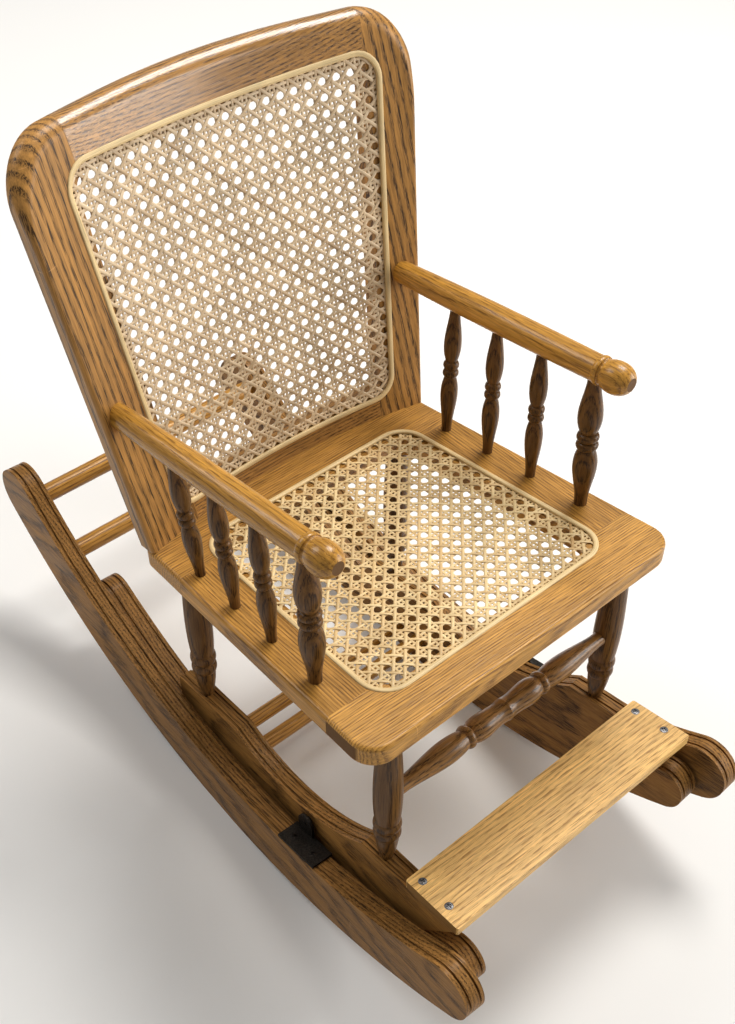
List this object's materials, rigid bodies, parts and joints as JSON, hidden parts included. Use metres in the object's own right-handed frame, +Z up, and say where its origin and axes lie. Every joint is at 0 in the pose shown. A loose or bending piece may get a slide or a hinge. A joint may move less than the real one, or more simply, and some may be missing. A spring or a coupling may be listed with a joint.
{
  "type": "rocking chair",
  "caption": "Child's oak rocking chair with cane seat and reclined cane back, turned arms and legs, footrest board and a pair of swing-out outer rockers.",
  "frame": {"origin": "on the floor under the middle of the chair's overall box", "axes": "+X to the sitter's left as seen from the front (image right), +Y to the back of the chair, +Z up"},
  "size_m": [0.3636, 0.682, 0.5746],
  "materials": {
    "oak": "satin varnish",
    "golden_oak": "satin varnish",
    "cane": "natural",
    "spline": "natural",
    "iron": "black",
    "steel": "dull"
  },
  "bodies": {
    "chair": {"seat_front_rail": "golden_oak", "seat_back_rail": "oak", "seat_left_rail": "oak", "seat_right_rail": "oak", "seat_cane": "cane", "seat_spline": "spline", "back_left_stile": "oak", "back_right_stile": "oak", "back_crest_rail": "oak", "back_bottom_rail": "oak", "back_cane": "cane", "back_spline": "spline", "left_arm": "golden_oak", "right_arm": "golden_oak", "left_spindle_1": "oak", "left_spindle_2": "oak", "left_spindle_3": "oak", "right_spindle_1": "oak", "right_spindle_2": "oak", "right_spindle_3": "oak", "left_arm_post": "oak", "right_arm_post": "oak", "front_left_leg": "oak", "front_right_leg": "oak", "rear_left_leg": "oak", "rear_right_leg": "oak", "front_stretcher": "oak", "left_runner": "oak", "right_runner": "oak", "left_inner_rocker": "oak", "right_inner_rocker": "oak", "inner_rung_front": "oak", "inner_rung_rear": "oak", "left_pivot_pin": "steel", "right_pivot_pin": "steel", "footrest_board": "golden_oak", "footrest_screws": "steel"},
    "outer_rockers": {"left_outer_rocker": "oak", "right_outer_rocker": "oak", "outer_rung_upper": "oak", "outer_rung_lower": "oak", "left_pivot_bracket": "iron", "right_pivot_bracket": "iron", "bracket_screws": "steel"}
  },
  "joints": [
    {"name": "outer_rockers_swing", "type": "hinge", "parent": "chair", "child": "outer_rockers", "pos_m": [0, -0.11544, 0.08143], "axis": [-1, 0, 0], "range_deg": [0, 45]}
  ]
}
